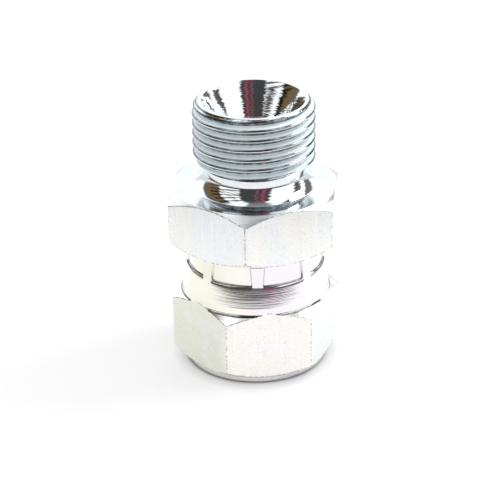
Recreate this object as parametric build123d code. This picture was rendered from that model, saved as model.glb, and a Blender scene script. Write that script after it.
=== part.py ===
from build123d import *
import os
from math import radians, sqrt, tan

# Hydraulic swivel adapter: a turned body with a male thread, a cone seat and a spanner
# hexagon, and a swivel nut whose crimped skirt turns on the body's collar.
# Millimetres. +Z runs up the thread axis to the male end, z = 0 is the nut's open face,
# and the body's hexagon has two corners on the X axis.

# Thread of both ends, 18 mm by 1.5 mm metric
thread_radius = 9.0
thread_pitch = 1.5
male_thread_length = 8.8
nut_thread_length = 8.2

# Male end: the flat rim round the cone seat, the undercut and the flare below it
rim_width = 0.58
cone_angle = 60.0
bore_radius = 4.5
undercut_depth = 0.48
undercut_length = 4.3
runout_angle = 45.0
flare_height = 2.2
flare_overhang = 0.1

# Hexagon of the body, 24 mm across flats: the flat face left round the flare, and the height
seal_face_width = 2.9
body_hex_height = 8.4
body_hex_chamfer_angle = 34.0

# Tail of the body, inside the nut
collar_shoulder = 0.7
collar_thickness = 3.0
lip_catch = 0.4
stem_clearance = 0.5
nose_clearance = 0.6
nose_land_length = 0.9
nose_tip_wall = 0.9

# Inside of the nut: the relief behind its thread and the ring that pulls on the collar
relief_length = 3.9
relief_depth = 0.25
relief_slope_angle = 45.0
pull_ring_length = 0.9

# Hexagon of the nut, 22 mm across flats: its thinnest wall, its chamfers and its foot
nut_wall = 1.75
nut_hex_chamfer_angle = 33.0
nut_foot_inset = 0.5
nut_foot_length = 0.9
nut_foot_rounding = 0.3
nut_turn = -14.3

# Flange and skirt of the nut
flange_overhang = 0.2
flange_step = 0.3
neck_fillet_width = 0.27
neck_fillet_height = 0.9
neck_length = 4.3
skirt_wall = 1.42
skirt_length = 3.4
skirt_top_bevel = 0.3

# Crimp lands, pressed into the skirt by jaws
land_count = 8
land_depth = 0.35
land_rise = 0.28
land_foot_angle = 35.5
land_top_angle = 33.0
land_turn = 14.4

# Clearances and broken edges
running_clearance = 0.08
end_clearance = 0.1
hex_to_skirt_gap = 0.5
edge_break = 0.2

# How far a cut or a turned envelope runs past what it cuts
overrun = 1.0

# Thread form: 17/24 and 5/8 of the sharp triangle's height, as in every metric thread
thread_triangle = thread_pitch * sqrt(3) / 2
male_minor_radius = thread_radius - thread_triangle * 17 / 24
female_minor_radius = thread_radius - thread_triangle * 5 / 8

# Radii of the body
cone_mouth_radius = male_minor_radius - rim_width
undercut_radius = male_minor_radius - undercut_depth
flare_base_radius = thread_radius + flare_overhang
body_hex_flats = 2 * (flare_base_radius + seal_face_width)
collar_radius = female_minor_radius + collar_shoulder
lip_radius = collar_radius - lip_catch
stem_radius = lip_radius - stem_clearance
nose_radius = female_minor_radius - nose_clearance
nose_tip_radius = bore_radius + nose_tip_wall

# Radii of the nut
relief_radius = thread_radius + relief_depth
nut_hex_flats = 2 * (relief_radius + nut_wall)
nut_corner_radius = nut_hex_flats / sqrt(3)
nut_foot_radius = nut_hex_flats / 2 - nut_foot_inset
flange_radius = nut_hex_flats / 2 + flange_overhang
nut_bore_radius = collar_radius + running_clearance
neck_top_radius = nut_bore_radius + skirt_wall
neck_foot_radius = flange_radius - neck_fillet_width
land_radius = neck_top_radius - land_depth

# Heights inside the nut, from its open face up, with the collar between ring and lip
relief_top = nut_thread_length + relief_length
collar_seat = relief_top + pull_ring_length
collar_foot = collar_seat + end_clearance
collar_top = collar_foot + collar_thickness
collar_bevel = lip_catch + edge_break
lip_foot = collar_top - collar_bevel + end_clearance - running_clearance
cone_slope = tan(radians(cone_angle / 2))
nose_cone_top = collar_foot - nose_land_length
nose_tip = nose_cone_top - (nose_radius - nose_tip_radius) / cone_slope

# Heights outside the nut: the lands press the skirt in where the lip starts
land_foot = lip_foot + land_rise
skirt_top = land_foot + skirt_length
flange_top = land_foot - neck_length
flange_foot = flange_top - flange_step
nut_chamfer_slope = tan(radians(nut_hex_chamfer_angle))

# Heights of the body above the nut
hex_foot = skirt_top + hex_to_skirt_gap
hex_top = hex_foot + body_hex_height
thread_foot = hex_top + undercut_length
rim_top = thread_foot + male_thread_length
cone_foot = rim_top - (cone_mouth_radius - bore_radius) / cone_slope


def turned(outline):
    """Turn a closed outline of (radius, height) lines about the Z axis."""
    return revolve(Plane.XZ * make_face(outline), Axis.Z)


def hexagon(flats, foot, top):
    """A hexagonal prism with two corners on the X axis."""
    across = RegularPolygon(radius=flats / 2, side_count=6, major_radius=False)
    return Pos(0, 0, foot) * extrude(across, amount=top - foot)


def chamfered_hexagon(flats, foot, top, angle):
    """A spanner hexagon whose corners are turned off to a cone above and below."""
    flat_radius = flats / 2
    beyond = flats / sqrt(3) + overrun
    drop = (beyond - flat_radius) * tan(radians(angle))
    envelope = Polyline(
        (0, foot),
        (flat_radius, foot),
        (beyond, foot + drop),
        (beyond, top - drop),
        (flat_radius, top),
        (0, top),
        close=True,
    )
    return hexagon(flats, foot, top) & turned(envelope)


def male_end():
    """The male thread at its outer radius, its undercut and the flare onto the hexagon."""
    runout = (thread_radius - undercut_radius) / tan(radians(runout_angle))
    lead = thread_radius - male_minor_radius
    flare = TangentArc(
        (undercut_radius, hex_top + flare_height),
        (flare_base_radius, hex_top),
        tangent=(0, -1),
    )
    rest = Polyline(
        (flare_base_radius, hex_top),
        (flare_base_radius, hex_foot),
        (0, hex_foot),
        (0, rim_top),
        (male_minor_radius, rim_top),
        (thread_radius, rim_top - lead),
        (thread_radius, thread_foot),
        (undercut_radius, thread_foot - runout),
        (undercut_radius, hex_top + flare_height),
    )
    return turned(flare + rest)


def tail():
    """The stem, the collar that the nut turns on and the cone nose that seals."""
    outline = Polyline(
        (0, hex_foot),
        (stem_radius, hex_foot),
        (stem_radius, collar_top),
        (collar_radius - collar_bevel, collar_top),
        (collar_radius, collar_top - collar_bevel),
        (collar_radius, collar_foot + edge_break),
        (collar_radius - edge_break, collar_foot),
        (nose_radius, collar_foot),
        (nose_radius, nose_cone_top),
        (nose_tip_radius, nose_tip),
        (0, nose_tip),
        close=True,
    )
    return turned(outline)


def flow_passage():
    """The bore through the body, the cone seat at its mouth and its broken lower edge."""
    outline = Polyline(
        (0, nose_tip - overrun),
        (bore_radius + edge_break + overrun, nose_tip - overrun),
        (bore_radius, nose_tip + edge_break),
        (bore_radius, cone_foot),
        (cone_mouth_radius, rim_top),
        (cone_mouth_radius + overrun * cone_slope, rim_top + overrun),
        (0, rim_top + overrun),
        close=True,
    )
    return turned(outline)


def hex_body():
    """The turned body in one piece."""
    spanner_hex = chamfered_hexagon(body_hex_flats, hex_foot, hex_top, body_hex_chamfer_angle)
    return male_end() + spanner_hex + tail() - flow_passage()


def nut_outside():
    """The nut's turned outside, cut by the six flats of its hexagon."""
    beyond = nut_corner_radius + overrun
    rise = (beyond - nut_foot_radius) * nut_chamfer_slope
    fall = (beyond - flange_radius) * nut_chamfer_slope
    foot_rounding = RadiusArc(
        (nut_foot_radius - nut_foot_rounding, 0),
        (nut_foot_radius, nut_foot_rounding),
        -nut_foot_rounding,
    )
    sides = Polyline(
        (nut_foot_radius, nut_foot_rounding),
        (nut_foot_radius, nut_foot_length),
        (beyond, nut_foot_length + rise),
        (beyond, flange_foot - fall),
        (flange_radius, flange_foot),
        (flange_radius, flange_top),
    )
    neck_foot = (neck_foot_radius, flange_top + neck_fillet_height)
    neck_top = (neck_top_radius, land_foot)
    fillet = TangentArc(
        neck_foot,
        (flange_radius, flange_top),
        tangent=(neck_foot[0] - neck_top[0], neck_foot[1] - neck_top[1]),
    )
    skirt = Polyline(
        neck_foot,
        neck_top,
        (neck_top_radius, skirt_top - skirt_top_bevel),
        (neck_top_radius - skirt_top_bevel, skirt_top),
        (0, skirt_top),
        (0, 0),
        (nut_foot_radius - nut_foot_rounding, 0),
    )
    outside = turned(foot_rounding + sides + fillet + skirt)
    return outside & hexagon(nut_hex_flats, 0, skirt_top)


def nut_inside():
    """The female thread at its inner radius, its relief, the collar's room and the crimped lip."""
    mouth_radius = thread_radius + edge_break
    relief_slope = (relief_radius - female_minor_radius) / tan(radians(relief_slope_angle))
    lip_slope = nut_bore_radius - lip_radius
    outline = Polyline(
        (0, -overrun),
        (mouth_radius + overrun, -overrun),
        (female_minor_radius, mouth_radius - female_minor_radius),
        (female_minor_radius, nut_thread_length),
        (relief_radius, nut_thread_length + relief_slope),
        (relief_radius, relief_top - relief_slope),
        (female_minor_radius, relief_top),
        (female_minor_radius, collar_seat),
        (nut_bore_radius, collar_seat),
        (nut_bore_radius, lip_foot),
        (lip_radius, lip_foot + lip_slope),
        (lip_radius, skirt_top + overrun),
        (0, skirt_top + overrun),
        close=True,
    )
    return turned(outline)


def crimp_land():
    """What one jaw presses in: a face round the axis between two upright walls."""
    foot_half = neck_top_radius * tan(radians(land_foot_angle / 2))
    top_half = neck_top_radius * tan(radians(land_top_angle / 2))
    jaw_face = Polyline(
        (-foot_half, land_foot),
        (foot_half, land_foot),
        (top_half, skirt_top),
        (-top_half, skirt_top),
        close=True,
    )
    jaw = extrude(Plane.YZ * make_face(jaw_face), amount=nut_hex_flats)
    kept = Pos(0, 0, land_foot) * Cylinder(
        land_radius, skirt_length, align=(Align.CENTER, Align.CENTER, Align.MIN)
    )
    return jaw - kept


def swivel_nut():
    """The nut in one piece, with its crimped skirt, at its turn in the photograph."""
    lands = PolarLocations(0, land_count, start_angle=land_turn)
    nut = nut_outside() - nut_inside() - [place * crimp_land() for place in lands]
    return Rot(0, 0, nut_turn) * nut


def write_part(name, shape):
    """Write one piece as a single solid."""
    solids = shape.solids()
    piece = solids[0] if len(solids) == 1 else Compound(children=list(solids))
    piece.label = name
    export_step(piece, f"parts/{name}.step")
    size = piece.bounding_box().size
    extent = f"{size.X:.2f} x {size.Y:.2f} x {size.Z:.2f} mm"
    print(f"{name}: {len(solids)} solid, {piece.volume:.1f} mm3, {extent}")


os.makedirs("parts", exist_ok=True)
write_part("hex_body", hex_body())
write_part("swivel_nut", swivel_nut())
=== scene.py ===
import bmesh
import bpy
from math import acos, atan2, ceil, cos, degrees, floor, radians, sin, sqrt, tan
from mathutils import Matrix, Vector


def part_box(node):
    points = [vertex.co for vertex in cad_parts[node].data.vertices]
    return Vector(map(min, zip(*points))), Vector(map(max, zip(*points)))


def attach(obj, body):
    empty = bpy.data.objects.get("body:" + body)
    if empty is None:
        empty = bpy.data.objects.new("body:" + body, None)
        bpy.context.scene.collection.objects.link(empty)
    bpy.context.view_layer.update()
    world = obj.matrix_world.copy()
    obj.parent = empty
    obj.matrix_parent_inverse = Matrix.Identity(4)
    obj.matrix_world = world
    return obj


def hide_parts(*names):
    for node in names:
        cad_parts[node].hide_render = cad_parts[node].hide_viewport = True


# Dressed model of the hydraulic swivel adapter: a threaded body with a cone seat and a
# spanner hexagon, and the swivel nut crimped onto it, in bright zinc plate.
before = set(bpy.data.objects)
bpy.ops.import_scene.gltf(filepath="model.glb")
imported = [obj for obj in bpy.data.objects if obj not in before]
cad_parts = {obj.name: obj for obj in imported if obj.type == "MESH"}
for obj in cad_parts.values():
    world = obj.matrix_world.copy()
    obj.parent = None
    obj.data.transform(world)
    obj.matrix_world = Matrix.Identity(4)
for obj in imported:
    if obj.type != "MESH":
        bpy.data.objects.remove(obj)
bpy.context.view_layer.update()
mm = 0.001

# Heights taken from the frame
body_low, body_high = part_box("hex_body")
rim_top = body_high.z
nose_tip = body_low.z
skirt_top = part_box("swivel_nut")[1].z

# Camera of the photograph
camera_azimuth = -23.87
camera_elevation = 25.21
camera_distance = 303.5 * mm
camera_target = Vector((0, 0, 21.47 * mm))
camera_aim_right = -0.80 * mm
camera_aim_up = -4.15 * mm
camera_roll = -0.81
camera_lens = 146.9

# Stage and lamp; the studio is what the metal mirrors
table_radius = 86 * mm
studio_strength = 1.15
lamp_place = Vector((260 * mm, -30 * mm, 250 * mm))
lamp_diameter = 160 * mm
lamp_watts = 0.6

# Threads, 18 mm by 1.5 mm; softness is how much of the crest's half its rounding takes
thread_radius = 9.0 * mm
thread_pitch = 1.5 * mm
thread_triangle = thread_pitch * sqrt(3) / 2
male_minor_radius = thread_radius - thread_triangle * 17 / 24
female_minor_radius = thread_radius - thread_triangle * 5 / 8
thread_flank_angle = 30.0
male_thread_phase = 1.07 * mm
crest_softness = 0.6
crest_width = 0.3 * mm
# Painted shade of the thread: a line along the crest's edges and a darkening towards the root
crest_edge_painted_shade = 0.85
root_painted_shade = 0.3

# Male end
male_thread_length = 8.8 * mm
runout_slope = 1.47
lead_wear = 0.3
cone_mouth_radius = 7.5 * mm
bore_radius = 4.5 * mm
cone_half_angle = 30.0
bore_steps = 12
undercut_radius = 7.6 * mm
undercut_length = 4.3 * mm
# Painted shade laid over the undercut's wall
undercut_painted_shade = 0.22
flare_base_radius = 9.1 * mm
flare_height = 2.05 * mm
flare_start_angle = 16.0

# Hexagon of the body; the turn is the angle of one face's middle
body_hex_turn = 30.0
body_hex_flats = 24.0 * mm
body_hex_height = 8.4 * mm
body_hex_chamfer_angle = 34.0
face_rim = 0.6 * mm

# Tail of the body, hidden in the nut
stem_radius = 7.99 * mm
collar_radius = 8.89 * mm
collar_bevel = 0.6 * mm
collar_foot = 13.1 * mm
collar_top = 16.1 * mm
nose_radius = 7.59 * mm
nose_land_length = 0.9 * mm
nose_tip_radius = 5.4 * mm

# Nut; the turn is the angle of one face's middle
nut_turn = 15.7
land_turn = 0.1
nut_hex_flats = 22.0 * mm
nut_hex_chamfer_angle = 33.0
nut_foot_radius = 10.5 * mm
nut_foot_length = 0.9 * mm
nut_foot_rounding = 0.3 * mm
flange_radius = 11.2 * mm
flange_foot = skirt_top - 8.0 * mm
flange_top = skirt_top - 7.7 * mm
flange_lean = 0.16 * mm
neck_foot_radius = 10.93 * mm
neck_foot = skirt_top - 6.8 * mm
neck_top_radius = 10.39 * mm
land_foot = skirt_top - 3.4 * mm
skirt_top_bevel = 0.12 * mm
land_depth = 0.35 * mm
land_pull_in = 0.4 * mm
land_count = 8
land_foot_half = 17.75
land_top_half = 16.5
drawn_in_share = 0.12
crease_share = 0.16
land_wall_offsets = (-1.2, -0.5, -0.2, 0, 0.2, 0.4, 0.6, 0.9, 1.6, 3.0)
land_foot_rises = (0.14, 0.09, 0.07, 0.05, 0.03, 0.015)

# Inside of the nut
nut_thread_length = 8.2 * mm
nut_mouth_radius = 9.2 * mm
relief_radius = 9.25 * mm
relief_top = 12.1 * mm
collar_seat = 13.0 * mm
nut_bore_radius = 8.97 * mm
lip_foot = 15.52 * mm
lip_radius = 8.49 * mm
thread_relief_radius = thread_radius + 0.05 * mm
thread_relief_foot = nut_thread_length + thread_relief_radius - female_minor_radius

# Edge roundings, and the width of the worn stretch beside an edge
mark_width = 0.15 * mm
corner_rounding = 0.25 * mm
edge_bevel = 0.12 * mm
inner_bevel = 0.06 * mm


# Numbers of the material slots; the nut has the first four, and the body all of them
TURNED, CHAMFER, FLAT, INSIDE, THREAD, CREST, FACE = range(7)


# Profiles
def smoothstep(low, high, value):
    """0 below low, 1 above high and a smooth rise between them."""
    t = min(max((value - low) / (high - low), 0), 1)
    return t * t * (3 - 2 * t)


def line(start, end, count):
    """Points from start to end, both included."""
    steps = [k / count for k in range(count + 1)]
    return [(start[0] + (end[0] - start[0]) * t, start[1] + (end[1] - start[1]) * t) for t in steps]


def arc(centre, radius, start, end, count):
    """Points on an arc, from one angle to another in degrees."""
    turns = [radians(start + (end - start) * k / count) for k in range(count + 1)]
    return [(centre[0] + radius * cos(a), centre[1] + radius * sin(a)) for a in turns]


def bevelled(points, width, steps=3, marks=None):
    """A line of points with its corners rounded, and the number of the stretch of each row.
    marks gives chosen corners their (painted shade, edge) marks by number."""
    rows = [points[0]]
    stretches = []
    marks = marks or {}
    for k in range(1, len(points) - 1):
        here = Vector(points[k])
        before = Vector(points[k - 1]) - here
        after = Vector(points[k + 1]) - here
        first = here + before * min(width / max(before.length, 1e-9), 0.45)
        last = here + after * min(width / max(after.length, 1e-9), 0.45)
        for step in range(steps + 1):
            t = step / steps
            place = first * (1 - t) ** 2 + here * 2 * t * (1 - t) + last * t ** 2
            rows.append((place.x, place.y, None, *marks.get(k, (0.0, 0.0))))
            stretches.append(k - 1)
    rows.append(points[-1])
    stretches.append(len(points) - 2)
    return rows, stretches


# Columns
def hexagon_columns(turn):
    """Angles of the columns round a hexagon, close together at its corners."""
    from_corner = [0, 0.17, 0.35, 0.52, 1.5, 3, 5] + [7.5 + 2.5 * k for k in range(9)]
    one_side = sorted({round(30 - d, 4) for d in from_corner} | {0.0})
    face = [-a for a in reversed(one_side[1:])] + one_side
    return [(60 * k + angle + turn) % 360 for k in range(6) for angle in face[:-1]]


def facet_radius(angle, turn, flats):
    """Distance from the axis to a hexagon's rounded outline at an angle in degrees."""
    from_face = (angle - turn + 30) % 60 - 30
    straight = flats / 2 / cos(radians(from_face))
    centre = (flats / 2 - corner_rounding) / cos(radians(30))
    swing = radians(30 - abs(from_face))
    reach = corner_rounding ** 2 - (centre * sin(swing)) ** 2
    if reach <= 0:
        return straight
    return min(straight, centre * cos(swing) + sqrt(reach))


def corner_mark(angle, turn):
    """1 on a hexagon's upright edges and 0 on its faces."""
    from_face = (angle - turn + 30) % 60 - 30
    return 1.0 if abs(from_face) > 29.7 else 0.0


# Mesh building; a row is a radius, a height, an angle of its own, a painted-shade mark and an edge mark
plain_row = (0.0, 0.0, None, 0.0, 0.0)


class Skin:
    """A closed skin made of strips round the Z axis, which share their border rings."""

    def __init__(self, columns):
        self.columns = sorted(set(round(a, 4) for a in columns))
        self.vertices = []
        self.marks = []
        self.faces = []
        self.materials = []

    def strip(self, outline, material, shift=0):
        """Adds a strip. outline(angle) gives one column's points as (radius, height), which
        may go on with an angle of their own, a painted-shade mark and an edge mark. shift joins the
        last column to the first one so many rows on."""
        first = len(self.vertices)
        count = 0
        for angle in self.columns:
            rows = outline(angle)
            count = len(rows)
            for row in rows:
                radius, height, own_angle, painted_shade, edge = row + plain_row[len(row):]
                turn = radians(angle if own_angle is None else own_angle)
                self.vertices.append((radius * cos(turn), radius * sin(turn), height))
                self.marks.append((painted_shade, edge))
        last = len(self.columns) - 1
        for c in range(len(self.columns)):
            here = first + c * count
            there = first if c == last else here + count
            step = shift if c == last else 0
            for r in range(count - 1):
                low = min(max(r + step, 0), count - 1)
                high = min(max(r + 1 + step, 0), count - 1)
                self.faces.append((here + r, here + r + 1, there + high, there + low))
                self.materials.append(material[r] if isinstance(material, list) else material)

    def build(self, name, materials):
        """The strips as one object, joined where they meet."""
        mesh = bpy.data.meshes.new(name)
        mesh.from_pydata(self.vertices, [], self.faces)
        for material in materials:
            mesh.materials.append(material)
        mesh.polygons.foreach_set("material_index", self.materials)
        for number, mark in enumerate(("painted_shade", "edge")):
            values = mesh.attributes.new(mark, "FLOAT", "POINT").data
            values.foreach_set("value", [marks[number] for marks in self.marks])
        work = bmesh.new()
        work.from_mesh(mesh)
        bmesh.ops.remove_doubles(work, verts=work.verts, dist=2e-7)
        bmesh.ops.recalc_face_normals(work, faces=work.faces)
        for face in work.faces:
            face.smooth = True
        work.to_mesh(mesh)
        work.free()
        piece = bpy.data.objects.new(name, mesh)
        bpy.context.scene.collection.objects.link(piece)
        normals = piece.modifiers.new("Even normals", "WEIGHTED_NORMAL")
        normals.keep_sharp = True
        return piece


def helix_rows(crest, root, low, high, phase, limit):
    """Rows of a thread between two heights, from below: a function of the column's angle, the
    number of rows in one pitch, and whether each row belongs to the crest. crest and root are
    the widths of its flat crest and root, and limit(depth, height) gives the radius and
    the edge mark of a point that far below the crest."""
    half = thread_pitch / 2
    slope = tan(radians(thread_flank_angle))
    flank = half - crest / 2 - root / 2
    soft = crest / 2 * crest_softness
    offsets = [0, crest / 2 - soft, crest / 2 - soft / 3, crest / 2 + soft / 3, crest / 2 + soft]
    offsets += [crest / 2 + soft + (flank - soft) * t for t in (0.25, 0.5, 0.75, 0.9)]
    offsets += [half - root / 2 + root / 6]
    one_pitch = offsets + [half] + [thread_pitch - offset for offset in reversed(offsets[1:])]
    first = floor((low - phase) / thread_pitch - 1) * thread_pitch
    repeats = ceil((high - phase - first) / thread_pitch) + 1
    heights = [first + k * thread_pitch + offset for k in range(repeats) for offset in one_pitch]

    def depth(offset):
        """How far the thread's surface is below its crest."""
        from_crest = abs((offset + half) % thread_pitch - half)
        into = from_crest - crest / 2 + soft
        if into < 0:
            return 0.0
        if into < 2 * soft:
            return into ** 2 / (4 * soft) / slope
        return min(from_crest - crest / 2, flank) / slope

    def shade(offset):
        """How dark the painted shade is: most under the crest, then in a line above it, and a
        little towards the root."""
        above = (offset + half) % thread_pitch - half
        if above < 0:
            return smoothstep(0.2, 0.45, -above / crest)
        edge = smoothstep(0.2, 0.38, above / crest) * (1 - smoothstep(0.75, 1.05, above / crest))
        root = smoothstep(0.15, 0.5, above / thread_pitch)
        return max(crest_edge_painted_shade * edge, root_painted_shade * root)

    def column(angle):
        lift = thread_pitch * angle / 360 + phase
        rows = []
        for height in heights:
            z = min(max(height + lift, low), high)
            radius, edge = limit(depth(z - lift), z)
            rows.append((radius, z, None, shade(z - lift), edge))
        return rows

    crests = [depth(height) < 2 * soft for height in heights]
    return column, len(one_pitch), crests


# Body: the threaded male end, the hexagon and the tail
hex_top = rim_top - male_thread_length - undercut_length
hex_foot = hex_top - body_hex_height
cone_foot = rim_top - (cone_mouth_radius - bore_radius) / tan(radians(cone_half_angle))
thread_foot = rim_top - male_thread_length
runout_foot = thread_foot - (thread_radius - undercut_radius) / runout_slope


def male_thread_limit(depth, z):
    """The thread's radius, held inside the lead at the rim and the runout at its foot, and
    the lead's edge mark."""
    lead = male_minor_radius + (rim_top - z)
    runout = undercut_radius + (z - runout_foot) * runout_slope
    radius = min(thread_radius - depth, lead, runout)
    return radius, lead_wear if radius == lead else 0.0


def body_top_rows(angle):
    """Flow bore, cone seat and rim, from the tail's tip up to the rim's outer edge."""
    bore = [(bore_radius + 0.2 * mm, nose_tip), (bore_radius, nose_tip + 0.2 * mm)]
    bore += line((bore_radius, nose_tip + 1 * mm), (bore_radius, cone_foot), bore_steps)
    cone = line((bore_radius, cone_foot), (cone_mouth_radius, rim_top), 12)
    lip = arc((cone_mouth_radius + 0.12 * mm, rim_top - 0.1 * mm), 0.1 * mm, 150, 90, 4)
    rim = line((cone_mouth_radius + 0.2 * mm, rim_top), (male_minor_radius, rim_top), 5)
    return bore + cone[1:-1] + lip + rim


def undercut_rows(angle):
    """The undercut and the flare below it, down to the hexagon's flat face."""
    overhang = flare_base_radius - undercut_radius
    middle = degrees(atan2(overhang, flare_height))
    radius = sqrt(overhang ** 2 + flare_height ** 2) / 2 / sin(radians(middle - flare_start_angle))
    turn = radians(flare_start_angle)
    centre = (undercut_radius + radius * cos(turn), hex_top + flare_height + radius * sin(turn))
    flare = arc(centre, radius, 180 + flare_start_angle, 180 + 2 * middle - flare_start_angle, 28)
    groove = line((undercut_radius, runout_foot), (undercut_radius, hex_top + flare_height), 8)
    # The undercut's wall is darkened with painted shade
    groove = [(r, z, None, undercut_painted_shade) for r, z in groove]
    return groove + flare[1:]


def body_hexagon_rows(angle):
    """One column of the hexagon, from its upper face round its outside to the stem."""
    outline = facet_radius(angle, body_hex_turn, body_hex_flats)
    circle = body_hex_flats / 2 - edge_bevel
    drop = max(outline - circle, 0) * tan(radians(body_hex_chamfer_angle))
    inset = min(mark_width, (outline - circle) / 2)
    dip = drop - inset * tan(radians(body_hex_chamfer_angle))
    corners = [(circle - face_rim, hex_top), (circle, hex_top), (outline - inset, hex_top - dip)]
    corners += [(outline, hex_top - drop), (outline, hex_top - drop - mark_width)]
    corners += [(outline, hex_foot + drop + mark_width), (outline, hex_foot + drop)]
    corners += [(outline - inset, hex_foot + dip), (circle, hex_foot), (stem_radius, hex_foot)]
    along = corner_mark(angle, body_hex_turn)
    marks = {3: (0, 1), 4: (0, along), 5: (0, along), 6: (0, 1)}
    return bevelled(corners, edge_bevel, marks=marks)


def hexagon_face_rows(angle):
    """The turned upper face of the hexagon round the flare."""
    edge = body_hex_flats / 2 - edge_bevel - face_rim
    return line((flare_base_radius, hex_top), (edge, hex_top), 6)


def tail_rows(angle):
    """The stem, the collar and the cone nose, down to the tip."""
    nose_cone_top = collar_foot - nose_land_length
    corners = [
        (stem_radius, hex_foot),
        (stem_radius, collar_top),
        (collar_radius - collar_bevel, collar_top),
        (collar_radius, collar_top - collar_bevel),
        (collar_radius, collar_foot + 0.2 * mm),
        (collar_radius - 0.2 * mm, collar_foot),
        (nose_radius, collar_foot),
        (nose_radius, nose_cone_top),
        (nose_tip_radius, nose_tip),
        (bore_radius + 0.2 * mm, nose_tip),
    ]
    return bevelled(corners, inner_bevel)[0]


def make_body(materials):
    """The body in one piece, with its real thread."""
    skin = Skin(hexagon_columns(body_hex_turn))
    bore_part = bore_steps + 3
    parts = [INSIDE] * bore_part + [TURNED] * (len(body_top_rows(0)) - 1 - bore_part)
    skin.strip(body_top_rows, parts)
    thread, rows_per_pitch, crests = helix_rows(
        crest_width, thread_pitch / 6, runout_foot, rim_top, male_thread_phase, male_thread_limit
    )
    parts = [CREST if crest else THREAD for crest in reversed(crests)][:-1]
    skin.strip(lambda angle: list(reversed(thread(angle))), parts, -rows_per_pitch)
    skin.strip(undercut_rows, TURNED)
    skin.strip(hexagon_face_rows, FACE)
    stretches = body_hexagon_rows(0)[1]
    by_stretch = [FACE, CHAMFER, CHAMFER, FLAT, FLAT, FLAT, CHAMFER, CHAMFER, FACE]
    skin.strip(lambda angle: body_hexagon_rows(angle)[0], [by_stretch[s] for s in stretches])
    skin.strip(tail_rows, INSIDE)
    return skin.build("adapter_body", materials)


# Nut: the hexagon, the flange, the neck and the skirt with its pressed lands
land_pitch = 360 / land_count


def nut_columns():
    """Hexagon columns and, between them, the columns of the lands' upright walls."""
    walls = []
    for k in range(land_count):
        for side in (-1, 1):
            for offset in land_wall_offsets:
                walls.append((land_turn + k * land_pitch + side * (land_foot_half + offset)) % 360)
    rim = []
    for radius in (flange_radius, flange_radius - flange_lean):
        cut = degrees(acos(nut_hex_flats / 2 / radius))
        rim += [(nut_turn + 60 * k + side * cut) % 360 for k in range(6) for side in (-1, 1)]
    return hexagon_columns(nut_turn) + walls + rim


def land_place(angle, z):
    """How deep the jaws pressed here, about 0 to 1, the column's angle at this height, and the painted shade
    in the crease beside each land's wall and along its foot.
    """
    from_land = (angle - land_turn + land_pitch / 2) % land_pitch - land_pitch / 2
    up = min(max((z - land_foot) / (skirt_top - land_foot), 0), 1)
    half = land_foot_half + (land_top_half - land_foot_half) * up
    past_wall = abs(from_land) - land_foot_half
    drawn_in = drawn_in_share * min(max((z - land_foot) / land_pull_in + 1, 0), 1) ** 2
    step = smoothstep(land_foot, land_foot + 0.07 * mm, z)
    pressed = drawn_in + (1 - drawn_in) * step
    pressed *= 1 - smoothstep(0, 0.6, past_wall)
    crease = (1 - min(abs(past_wall + 0.25) / 0.45, 1)) ** 2 * step
    pressed += crease_share * crease
    if abs(from_land) <= land_foot_half:
        moved = from_land * half / land_foot_half
    else:
        rest = (land_pitch / 2 - half) / (land_pitch / 2 - land_foot_half)
        moved = half + (abs(from_land) - land_foot_half) * rest
        moved = moved if from_land > 0 else -moved
    inside = 1 - smoothstep(-0.2, 0.5, past_wall)
    foot_shade_line = 1 - min(abs(z - land_foot - 0.03 * mm) / (0.06 * mm), 1)
    # Painted shade: a dark line in the crease beside each land's wall and along the land's foot
    painted_shade = max(0.7 * crease, foot_shade_line * inside)
    return pressed, angle - from_land + moved, painted_shade


def neck_radius(z):
    """Radius of the flange's edge, the fillet and the neck at a height."""
    if z >= neck_foot:
        along = min((z - neck_foot) / (land_foot - neck_foot), 1)
        return neck_foot_radius + (neck_top_radius - neck_foot_radius) * along
    along = (neck_foot - z) / (neck_foot - flange_top)
    swell = flange_radius - flange_lean - neck_foot_radius
    return neck_foot_radius + swell * (0.75 * along + 0.25 * along ** 3)


def fillet_height(radius):
    """Height on the fillet above the flange where it has this radius."""
    low, high = flange_top, neck_foot
    for step in range(40):
        middle = (low + high) / 2
        low, high = (middle, high) if neck_radius(middle) > radius else (low, middle)
    return (low + high) / 2


def flange_cut(outline):
    """The highest point of the flange's edge that the hexagon's flats leave in a column."""
    if outline >= flange_radius:
        return (flange_radius - flange_lean, flange_top)
    if outline >= flange_radius - flange_lean:
        down = (outline - flange_radius + flange_lean) / flange_lean
        return (outline, flange_top - (flange_top - flange_foot) * down)
    return (outline, fillet_height(outline))


def nut_hexagon_rows(angle):
    """One column of the nut's hexagon, from the flange's upper edge down to the table."""
    outline = facet_radius(angle, nut_turn, nut_hex_flats)
    slope = tan(radians(nut_hex_chamfer_angle))
    foot = nut_foot_length + (outline - nut_foot_radius) * slope
    top = flange_cut(outline)
    if outline >= flange_radius:
        shoulder = flange_foot - (outline - flange_radius) * slope
        inset = min(mark_width, (outline - flange_radius) / 3)
        edge = [top, (flange_radius, flange_foot), (flange_radius + inset, flange_foot - inset * slope)]
        edge.append((outline - inset, shoulder + inset * slope))
    else:
        shoulder = top[1]
        edge = [top, top, top, top]
    edge.append((outline, shoulder))
    inset = min(mark_width, (outline - nut_foot_radius) / 2)
    corners = edge + [(outline, shoulder - mark_width), (outline, foot + mark_width)]
    corners += [(outline, foot), (outline - inset, foot - inset * slope)]
    corners += [(nut_foot_radius, nut_foot_length), (nut_foot_radius, nut_foot_rounding)]
    along = corner_mark(angle, nut_turn)
    # Corner 1, the step under the flange, carries painted shade; the other marks are the worn edges
    marks = {1: (1, 0), 4: (0, 1), 5: (0, along), 6: (0, along), 7: (0, 1)}
    rows, stretches = bevelled(corners, edge_bevel * 0.7, marks=marks)
    centre = (nut_foot_radius - nut_foot_rounding, nut_foot_rounding)
    rows += arc(centre, nut_foot_rounding, 0, -90, 5)[1:]
    return rows, stretches + [stretches[-1]] * 5


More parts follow.
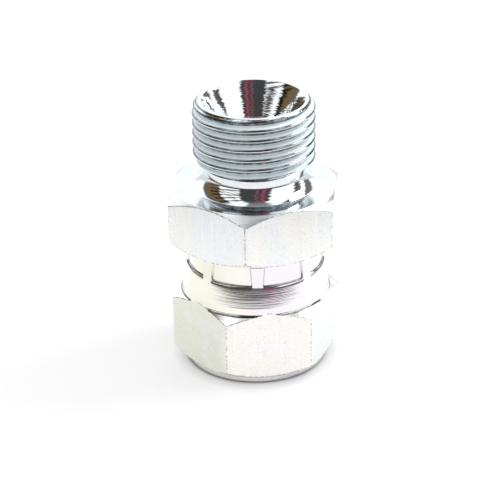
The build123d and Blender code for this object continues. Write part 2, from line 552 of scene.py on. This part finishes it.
def neck_rows(angle):
    """The skirt and the neck, from the skirt's top down to the flange's upper edge."""
    outline = facet_radius(angle, nut_turn, nut_hex_flats)
    rows = []
    inner = (neck_top_radius - skirt_top_bevel, skirt_top)
    skirt = line(inner, (neck_top_radius, skirt_top - skirt_top_bevel), 3)
    skirt += line((neck_top_radius, skirt_top - 0.4 * mm), (neck_top_radius, land_foot + 0.3 * mm), 12)
    skirt += [(neck_top_radius, land_foot + rise * mm) for rise in land_foot_rises]
    neck = [(neck_radius(z), z) for r, z in line((0, land_foot), (0, neck_foot), 30)]
    for radius, z in skirt + neck:
        pressed, turned, painted_shade = land_place(angle, z)
        rows.append((radius - land_depth * pressed, z, turned, painted_shade))
    top = flange_cut(outline)
    end = top[1] if outline < flange_radius - flange_lean else flange_top
    fillet = [(neck_radius(z), z, angle) for r, z in line((0, neck_foot), (0, end), 12)]
    return rows + fillet[1:] + [(top[0], top[1], angle)]


def female_thread_limit(depth, z):
    """The thread's radius, outside the countersink at the mouth and the relief behind it."""
    countersink = nut_mouth_radius - z
    relief = female_minor_radius + (z - nut_thread_length)
    return max(female_minor_radius + depth, countersink, relief), 0.0


def nut_inside_rows(angle):
    """The relief behind the thread, the pull ring, the collar's room and the crimped lip."""
    step = relief_radius - female_minor_radius
    corners = [
        (thread_relief_radius, thread_relief_foot),
        (relief_radius, nut_thread_length + step),
        (relief_radius, relief_top - step),
        (female_minor_radius, relief_top),
        (female_minor_radius, collar_seat),
        (nut_bore_radius, collar_seat),
        (nut_bore_radius, lip_foot),
        (lip_radius, lip_foot + nut_bore_radius - lip_radius),
        (lip_radius, skirt_top),
        (neck_top_radius - 0.3 * mm - land_depth, skirt_top),
    ]
    return bevelled(corners, inner_bevel)[0]


def skirt_top_rows(angle):
    """The skirt's top face, from its bore to the bevel that the lands cut into."""
    pressed, turned, painted_shade = land_place(angle, skirt_top)
    inner = neck_top_radius - 0.3 * mm - land_depth
    outer = neck_top_radius - skirt_top_bevel - land_depth * pressed
    return [(inner, skirt_top, angle), (outer, skirt_top, turned)]


def foot_rows(angle):
    """The nut's lower face, from its outside to the countersunk mouth."""
    return line((nut_foot_radius - nut_foot_rounding, 0.0), (nut_mouth_radius, 0.0), 4)


def make_nut(materials):
    """The swivel nut in one piece, with its real thread and its crimped skirt."""
    skin = Skin(nut_columns())
    thread, rows_per_pitch, crests = helix_rows(
        thread_pitch / 4, thread_pitch / 8, 0.0, thread_relief_foot, 0.0, female_thread_limit
    )
    skin.strip(thread, INSIDE, rows_per_pitch)
    skin.strip(nut_inside_rows, INSIDE)
    skin.strip(skirt_top_rows, TURNED)
    skin.strip(neck_rows, TURNED)
    stretches = nut_hexagon_rows(0)[1]
    by_stretch = [TURNED] + [CHAMFER] * 3 + [FLAT] * 3 + [CHAMFER] * 2 + [TURNED]
    skin.strip(lambda angle: nut_hexagon_rows(angle)[0], [by_stretch[s] for s in stretches])
    skin.strip(foot_rows, TURNED)
    return skin.build("adapter_nut", materials)


# Materials
class Nodes:
    """The node tree of a new material or of the world, with short ways to add and link nodes."""

    def __init__(self, name=None, tree=None):
        if tree is None:
            self.material = bpy.data.materials.new(name)
            self.material.use_nodes = True
            tree = self.material.node_tree
            self.shader = tree.nodes["Principled BSDF"]
        self.tree = tree

    def add(self, kind, inputs=(), **settings):
        """A node with its settings and inputs; an input is a value or another node's output."""
        node = self.tree.nodes.new(kind)
        for key, value in settings.items():
            setattr(node, key, value)
        for key, value in dict(inputs).items():
            self.put(node.inputs[key], value)
        return node

    def put(self, socket, value):
        """Links an output to a socket, or sets the socket's own value."""
        if isinstance(value, bpy.types.NodeSocket):
            self.tree.links.new(value, socket)
        else:
            socket.default_value = value

    def noise(self, scale, stretch=(1, 1, 1), detail=3.0, offset=0.0):
        """Noise in the object's own metres, stretched along the axes."""
        place = self.add("ShaderNodeTexCoord").outputs["Object"]
        stretched = self.add("ShaderNodeMapping", {0: place, 1: (offset, offset, offset), 3: stretch})
        inputs = {"Vector": stretched.outputs[0], "Scale": scale, "Detail": detail}
        return self.add("ShaderNodeTexNoise", inputs).outputs[0]

    def ramp(self, factor, stops):
        """A colour ramp of (position, colour) stops."""
        node = self.add("ShaderNodeValToRGB", {0: factor})
        stop_list = node.color_ramp.elements
        while len(stop_list) < len(stops):
            stop_list.new(0.5)
        for stop, (position, colour) in zip(stop_list, stops):
            stop.position = position
            stop.color = (*colour, 1) if len(colour) == 3 else colour
        return node.outputs[0]

    def mix(self, factor, first, second, blend="MIX"):
        """Two colours mixed."""
        node = self.add("ShaderNodeMix", data_type="RGBA", blend_type=blend)
        self.put(node.inputs[0], factor)
        self.put(node.inputs[6], first)
        self.put(node.inputs[7], second)
        return node.outputs[2]

    def maths(self, kind, first, second=0.0, third=0.0):
        """One step of arithmetic."""
        return self.add("ShaderNodeMath", {0: first, 1: second, 2: third}, operation=kind).outputs[0]

    def sum_of(self, first, first_share, second, second_share):
        """Two outputs added up, each times its share."""
        return self.maths("MULTIPLY_ADD", first, first_share, self.maths("MULTIPLY", second, second_share))

    def bump(self, height, strength, distance, normal=None):
        """A bump, on top of another one if it is given."""
        inputs = {"Height": height, "Strength": strength, "Distance": distance}
        if normal is not None:
            inputs["Normal"] = normal
        return self.add("ShaderNodeBump", inputs).outputs[0]


def grey(value):
    """A grey colour."""
    return (value, value, value)


# Lathe rings, the colours of the painted shade and of the worn edges, and how matt the flats are
ring_length = 12 * mm
ring_pitch = 0.11 * mm
painted_shade_brown = (0.16, 0.14, 0.13)
worn_grey = (0.38, 0.36, 0.34, 1)
body_flat_roughness = 0.32
nut_flat_roughness = 0.3


def rings(nodes, pitch, offset=0.0):
    """Noise in fine rings round the axis, which change slowly along their length."""
    place = nodes.add("ShaderNodeTexCoord").outputs["Object"]
    x, y, z = nodes.add("ShaderNodeSeparateXYZ", {0: place}).outputs
    flat = nodes.add("ShaderNodeCombineXYZ", {0: x, 1: y}).outputs[0]
    radius = nodes.add("ShaderNodeVectorMath", {0: flat}, operation="LENGTH").outputs["Value"]
    side = nodes.maths("MULTIPLY_ADD", x, pitch / ring_length, offset)
    ring_place = nodes.add("ShaderNodeCombineXYZ", {0: radius, 1: z, 2: side}).outputs[0]
    inputs = {"Vector": ring_place, "Scale": 1 / pitch, "Detail": 0.5}
    return nodes.add("ShaderNodeTexNoise", inputs).outputs[0]


def turning_marks(nodes, swing, tilt, pitch):
    """The normal as the lathe tool left it: rings that lean up or down and left or right."""
    leaning = nodes.bump(rings(nodes, pitch), tilt, 0.00001)
    uneven = [(0.28, grey(0.0)), (0.44, grey(0.42)), (0.56, grey(0.58)), (0.72, grey(1.0))]
    across = nodes.ramp(rings(nodes, pitch * 1.3, offset=0.01), uneven)
    angle = nodes.maths("MULTIPLY_ADD", across, 2 * radians(swing), -radians(swing))
    turn = nodes.add("ShaderNodeVectorRotate", {"Vector": leaning, "Angle": angle}, rotation_type="Z_AXIS")
    return turn.outputs[0]


def zinc(name, colour, roughness, metallic=1.0):
    """Bright zinc plate, with the colour and roughness still to be linked."""
    nodes = Nodes(name)
    nodes.shader.inputs["Metallic"].default_value = metallic
    nodes.shader.inputs["Base Color"].default_value = (*colour, 1)
    nodes.shader.inputs["Roughness"].default_value = roughness
    return nodes


def finish_zinc(nodes, colour, roughness, normal, painted_shade_colour=painted_shade_brown):
    """Adds the painted shade of the creases, steps and thread grooves, and the nicked edges, and links the
    shader.
    """
    painted_shade = nodes.add("ShaderNodeAttribute", attribute_name="painted_shade").outputs["Fac"]
    patchy = nodes.ramp(nodes.noise(1400, detail=3.0, offset=7.0), [(0.25, grey(0.6)), (0.6, grey(1.0))])
    # Painted shade: the colour darkens, in patches, towards the shade colour where the mark is set
    colour = nodes.mix(nodes.maths("MULTIPLY", painted_shade, patchy), colour, (*painted_shade_colour, 1))
    edge = nodes.add("ShaderNodeAttribute", attribute_name="edge").outputs["Fac"]
    nicks = nodes.ramp(nodes.noise(2300, detail=2.0, offset=5.0), [(0.47, grey(0.0)), (0.55, grey(1.0))])
    nicked = nodes.maths("MULTIPLY", edge, nicks)
    colour = nodes.mix(nicked, colour, worn_grey)
    rough = nodes.mix(nicked, roughness, (0.5, 0.5, 0.5, 1))
    nodes.put(nodes.shader.inputs["Base Color"], colour)
    nodes.put(nodes.shader.inputs["Roughness"], rough)
    nodes.put(nodes.shader.inputs["Normal"], nodes.bump(nicked, 0.35, 0.00004, normal))
    return nodes.material


def turned_zinc(name, stops, roughness, swing, tilt, painted_shade_colour=painted_shade_brown, metallic=1.0):
    """Turned and plated: fine rings and a faint drift of colour. The stops are of a ramp or,
    where they start below zero, of the angle round the axis, with a painted reflection in them."""
    nodes = zinc(name, stops[0][1], roughness, metallic)
    if stops[0][0] < 0:
        colour = tint_and_reflection_by_angle(nodes, stops)
    else:
        colour = nodes.ramp(nodes.noise(160, stretch=(1, 1, 1.6), detail=4.0), stops)
    smear = nodes.noise(900, stretch=(0.15, 0.15, 2.5), detail=3.0)
    rough = nodes.ramp(smear, [(0.3, grey(roughness * 0.7)), (0.7, grey(roughness * 1.4))])
    normal = turning_marks(nodes, swing, tilt, ring_pitch)
    return finish_zinc(nodes, colour, rough, normal, painted_shade_colour)


def flat_zinc(nodes, colour, roughness):
    """Drawn bar left as it came: matte, with vertical drawing lines and fine specks."""
    specks = nodes.noise(5200, detail=2.0, offset=3.0)
    dots = nodes.ramp(specks, [(0.56, grey(1.0)), (0.66, grey(0.86))])
    pits = nodes.ramp(nodes.noise(3100, detail=1.0, offset=9.0), [(0.74, grey(1.0)), (0.80, grey(0.7))])
    colour = nodes.mix(1.0, nodes.mix(1.0, colour, dots, "MULTIPLY"), pits, "MULTIPLY")
    lines = nodes.noise(3600, stretch=(1, 1, 0.04), detail=2.0, offset=1.0)
    rough = nodes.ramp(lines, [(0.3, grey(roughness * 0.85)), (0.7, grey(roughness * 1.2))])
    drawn = nodes.bump(lines, 0.06, 0.00003)
    return finish_zinc(nodes, colour, rough, nodes.bump(specks, 0.12, 0.00003, drawn))


def body_flats():
    """The body's flats: pale blue-grey, with cream and ochre drifts."""
    stops = [
        (0.30, (0.92, 0.97, 0.99)),
        (0.45, (0.95, 0.97, 0.98)),
        (0.55, (0.98, 0.98, 0.96)),
        (0.66, (0.97, 0.96, 0.91)),
        (0.80, (0.88, 0.81, 0.68)),
    ]
    nodes = zinc("body_hexagon_zinc", stops[0][1], body_flat_roughness)
    drift = nodes.noise(120, stretch=(1, 1, 0.45), detail=4.0)
    return flat_zinc(nodes, nodes.ramp(drift, stops), body_flat_roughness)


def tint_and_reflection_by_angle(nodes, tints_and_reflections):
    """A colour that goes round the axis with the (degrees, colour) stops, wandering a little; it carries the
    plating's tint and a painted reflection, fixed to the object's sides.
    """
    place = nodes.add("ShaderNodeTexCoord").outputs["Object"]
    x, y, z = nodes.add("ShaderNodeSeparateXYZ", {0: place}).outputs
    around = nodes.maths("MULTIPLY_ADD", nodes.maths("ARCTAN2", y, x), 1 / radians(360), 0.5)
    wander = nodes.maths("SUBTRACT", nodes.noise(140, detail=3.0), 0.5)
    around = nodes.maths("MULTIPLY_ADD", wander, 0.06, around)
    return nodes.ramp(around, [((angle + 180) / 360, colour) for angle, colour in tints_and_reflections])


def nut_flats():
    """The nut's flats, olive to rose by the angle round the axis: partly the passivation's faint tint and
    partly a painted reflection of the studio on each side.
    """
    rose, mint, olive = (0.95, 0.92, 0.89), (0.89, 0.92, 0.91), (0.82, 0.83, 0.73)
    nodes = zinc("nut_hexagon_zinc", rose, nut_flat_roughness)
    # Colours by angle round the axis: a painted reflection of the studio's walls on each flat, over the
    # passivation's tint
    tints_and_reflections = [(-180, olive), (-144, olive), (-130, rose), (-79, rose), (-65, mint), (0, mint)]
    tints_and_reflections += [(36, rose), (90, mint), (144, olive)]
    tint_and_reflection = tint_and_reflection_by_angle(nodes, tints_and_reflections)
    lavender = nodes.ramp(nodes.noise(190, detail=2.0, offset=4.0), [(0.5, grey(0.0)), (0.75, grey(0.6))])
    colour = nodes.mix(lavender, tint_and_reflection, (0.92, 0.90, 0.97, 1))
    return flat_zinc(nodes, colour, nut_flat_roughness)


def inner_zinc(name):
    """Inside surfaces, where the plating is thinner and duller."""
    nodes = zinc(name, (0.7, 0.7, 0.68), 0.4)
    drift = nodes.noise(300, detail=4.0)
    stops = [(0.3, (0.52, 0.52, 0.50)), (0.7, (0.78, 0.78, 0.75))]
    nodes.put(nodes.shader.inputs["Base Color"], nodes.ramp(drift, stops))
    nodes.put(nodes.shader.inputs["Normal"], turning_marks(nodes, 2.0, 0.5, 0.0004))
    return nodes.material


def body_materials():
    """The body's materials, in the order of the slot numbers."""
    blue_white = [(0.3, (0.90, 0.94, 0.97)), (0.7, (0.96, 0.97, 0.98))]
    pale_blue = [(0.3, (0.84, 0.95, 0.99)), (0.7, (0.92, 0.97, 0.99))]
    matte_blue = [(0.3, (0.80, 0.95, 1.0)), (0.7, (0.92, 0.98, 1.0))]
    pale_grey = [(0.35, (0.80, 0.89, 0.95)), (0.6, (0.90, 0.94, 0.96))]
    cool_grey = [(0.35, (0.90, 0.94, 0.95)), (0.65, (0.96, 0.97, 0.97))]
    painted_shade_blue = (0.04, 0.06, 0.075)
    return [
        turned_zinc("body_turned_zinc", blue_white, 0.06, 2.2, 0.45, painted_shade_blue),
        turned_zinc("body_chamfer_zinc", cool_grey, 0.26, 2.0, 0.2),
        body_flats(),
        inner_zinc("body_inner_zinc"),
        turned_zinc("body_thread_zinc", matte_blue, 0.55, 1.0, 0.1, painted_shade_blue, 0.15),
        turned_zinc("body_crest_zinc", pale_blue, 0.10, 6.0, 0.2, painted_shade_blue),
        turned_zinc("body_face_zinc", pale_grey, 0.14, 2.5, 0.15),
    ]


def nut_materials():
    """The nut's materials, in the order of the slot numbers."""
    # The turned parts' colours by angle round the axis: the plating's tint and a painted reflection of the
    # studio's walls, olive on the left
    left, middle, right = (0.88, 0.87, 0.77), (0.87, 0.83, 0.87), (0.90, 0.90, 0.89)
    cream = [(-180, left), (-150, left), (-125, (0.91, 0.87, 0.83)), (-113, middle), (-80, middle)]
    cream += [(-50, right), (60, middle), (120, right)]
    pale = [(0.35, (0.98, 0.98, 0.96)), (0.65, (0.96, 0.95, 0.98))]
    return [
        turned_zinc("nut_turned_zinc", cream, 0.09, 8.0, 0.32),
        turned_zinc("nut_chamfer_zinc", pale, 0.12, 2.0, 0.2),
        nut_flats(),
        inner_zinc("nut_inner_zinc"),
    ]


# Stage, lamps and camera
def make_floor():
    """A round white table, which ends a little in front of the object. Its glow makes it white, and it fades
    to nothing in a ring round the nut's foot, a painted contact shadow.
    """
    work = bmesh.new()
    bmesh.ops.create_circle(work, cap_ends=True, segments=128, radius=table_radius)
    mesh = bpy.data.meshes.new("table")
    work.to_mesh(mesh)
    work.free()
    table = bpy.data.objects.new("table", mesh)
    bpy.context.scene.collection.objects.link(table)
    nodes = Nodes("table_white_painted_shadow")
    nodes.shader.inputs["Base Color"].default_value = (0.4, 0.4, 0.4, 1)
    nodes.shader.inputs["Roughness"].default_value = 0.9
    nodes.shader.inputs["Specular IOR Level"].default_value = 0.0
    nodes.shader.inputs["Emission Color"].default_value = (1, 1, 1, 1)
    place = nodes.add("ShaderNodeTexCoord").outputs["Object"]
    reach = nodes.add("ShaderNodeVectorMath", {0: place}, operation="LENGTH").outputs["Value"]
    share = nodes.maths("DIVIDE", reach, table_radius)
    # Glow by distance from the axis: none at the nut's foot and low close by, a painted contact shadow, then
    # nearly even and a little brighter outwards
    glow_with_painted_contact_shadow = [(10.45, 0.0), (10.9, 0.33), (13, 0.53), (40, 0.54), (84, 0.59)]
    stops = [(radius * mm / table_radius, grey(strength)) for radius, strength in glow_with_painted_contact_shadow]
    nodes.put(nodes.shader.inputs["Emission Strength"], nodes.ramp(share, stops))
    mesh.materials.append(nodes.material)


def make_world():
    """A white studio. The metal mirrors its dark, brown and red parts, and the camera and
    the matt surfaces see plain white."""
    world = bpy.data.worlds.new("studio")
    world.use_nodes = True
    bpy.context.scene.world = world
    nodes = Nodes(tree=world.node_tree)
    direction = nodes.add("ShaderNodeTexCoord").outputs["Generated"]
    x, y, z = nodes.add("ShaderNodeSeparateXYZ", {0: direction}).outputs
    turn = radians(camera_azimuth)
    across = nodes.sum_of(x, cos(turn), y, sin(turn))
    towards = nodes.sum_of(x, sin(turn), y, -cos(turn))
    turned = nodes.maths("ARCTAN2", across, towards)
    around = nodes.maths("MULTIPLY_ADD", turned, 1 / radians(360), 0.5)
    height = nodes.maths("MULTIPLY_ADD", z, 0.5, 0.5)
    under_top = nodes.ramp(height, [(0.93, grey(1.0)), (0.965, grey(0.0))])
    walls = nodes.mix(under_top, hood_overhead(nodes, across, towards), slatted_walls(nodes, around, height))
    above = nodes.ramp(height, [(0.495, grey(0.0)), (0.51, grey(1.0))])
    studio = nodes.mix(above, beyond_table(nodes, around, height), walls)
    mirrored = nodes.add("ShaderNodeLightPath").outputs["Is Glossy Ray"]
    background = world.node_tree.nodes["Background"]
    nodes.put(background.inputs[0], nodes.mix(mirrored, (1, 1, 1, 1), studio))
    background.inputs[1].default_value = studio_strength


def slatted_walls(nodes, around, height):
    """The walls, with the dark slats across their white part on the camera's left."""
    walls = nodes.ramp(around, by_angle(studio_walls()))
    slats = nodes.ramp(height, studio_slats())
    slat_ends = [(-104, grey(0.0)), (-100, grey(1.0)), (-36, grey(1.0)), (-30, grey(0.0))]
    beside = nodes.ramp(around, by_angle(slat_ends))
    return nodes.mix(beside, walls, nodes.mix(1.0, walls, slats, "MULTIPLY"))


def hood_overhead(nodes, across, towards):
    """White from above, with the dark hood that reaches over from the camera's side."""
    side = nodes.maths("MULTIPLY_ADD", across, 0.5, 0.5)
    hood = nodes.ramp(side, [(0.39, grey(0.0)), (0.44, grey(1.0)), (0.62, grey(1.0)), (0.68, grey(0.0))])
    facing = nodes.maths("MULTIPLY_ADD", towards, 0.5, 0.5)
    depth = [(0.38, grey(0.1)), (0.42, grey(0.7)), (0.55, grey(0.8)), (0.70, grey(0.88))]
    depth.append((0.88, grey(0.92)))
    hood = nodes.maths("MULTIPLY", hood, nodes.ramp(facing, depth))
    return nodes.mix(hood, (1.0, 1.02, 1.05, 1), (0.02, 0.024, 0.03, 1))


def beyond_table(nodes, around, height):
    """What lies past the table's edge: dark in front, with a red glint near its top."""
    floor = nodes.ramp(around, by_angle(studio_floor()))
    red_glint = [(20, grey(0.06)), (26, (0.30, 0.06, 0.10)), (34, grey(0.06))]
    glint = nodes.ramp(around, by_angle(red_glint))
    near_top = nodes.ramp(height, [(0.37, grey(0.0)), (0.39, grey(1.0))])
    return nodes.mix(near_top, floor, nodes.mix(1.0, floor, glint, "LIGHTEN"))


def by_angle(stretches):
    """Ramp stops from angles in degrees, counted from the camera and positive to its right."""
    return [((angle + 180) / 360, colour) for angle, colour in stretches]


def studio_walls():
    """What stands round the table, above its height."""
    dark, white = grey(0.045), grey(1.0)
    brown, red, dim_red = (0.13, 0.095, 0.05), (0.28, 0.05, 0.09), (0.17, 0.07, 0.08)
    return [
        (-126, white),
        (-122, grey(0.12)),
        (-117, grey(0.10)),
        (-114, brown),
        (-81, brown),
        (-77, white),
        (-36, white),
        (-32, dark),
        (0, dark),
        (3, dim_red),
        (6, dim_red),
        (8, dark),
        (14, dark),
        (16, red),
        (21, red),
        (25, dark),
        (33, dark),
        (38, white),
        (90, white),
        (93, grey(0.06)),
        (108, grey(0.12)),
        (111, white),
        (120, white),
        (124, grey(0.12)),
        (140, grey(0.15)),
        (144, white),
    ]


def studio_slats():
    """Dark slats across the white part of the walls, by height."""
    white, dark = grey(1.0), grey(0.05)
    half = 2
    stops = []
    for elevation in (2, 15, 25, 34, 44, 55, 67):
        low, high = (sin(radians(elevation + side)) / 2 + 0.5 for side in (-half, half))
        stops += [(low - 0.003, white), (low, dark), (high, dark), (high + 0.003, white)]
    return stops


def studio_floor():
    """What lies beyond the white table, below its height."""
    dark, white = grey(0.06), grey(0.65)
    return [(-95, white), (-70, dark), (65, dark), (90, white)]


def make_lamp():
    """One large soft lamp to the right of the object, behind and above it."""
    data = bpy.data.lights.new("key", "AREA")
    data.shape = "DISK"
    data.size = lamp_diameter
    data.energy = lamp_watts
    lamp = bpy.data.objects.new("key", data)
    bpy.context.scene.collection.objects.link(lamp)
    lamp.location = lamp_place
    lamp.rotation_euler = (-lamp_place).to_track_quat("-Z", "Y").to_euler()


def make_camera():
    """The photograph's camera, aimed a little beside and below the object's middle."""
    a, e = radians(camera_azimuth), radians(camera_elevation)
    back = Vector((sin(a) * cos(e), -cos(a) * cos(e), sin(e)))
    right = Vector((cos(a), sin(a), 0))
    up = back.cross(right)
    place = camera_target + back * camera_distance
    aim = camera_target + right * camera_aim_right + up * camera_aim_up
    data = bpy.data.cameras.new("camera")
    data.lens = camera_lens
    data.sensor_width = 36
    data.clip_start = 0.01
    data.clip_end = 10
    camera = bpy.data.objects.new("camera", data)
    bpy.context.scene.collection.objects.link(camera)
    look = (aim - place).to_track_quat("-Z", "Y").to_matrix()
    roll = Matrix.Rotation(radians(camera_roll), 3, "Z")
    camera.matrix_world = Matrix.Translation(place) @ (look @ roll).to_4x4()
    bpy.context.scene.camera = camera


def make_scene():
    """Everything, in order."""
    make_camera()
    make_floor()
    make_world()
    make_lamp()
    body = make_body(body_materials())
    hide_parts("hex_body")
    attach(body, "body")
    nut = make_nut(nut_materials())
    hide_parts("swivel_nut")
    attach(nut, "nut")
    bpy.context.scene.view_settings.view_transform = "Standard"


make_scene()
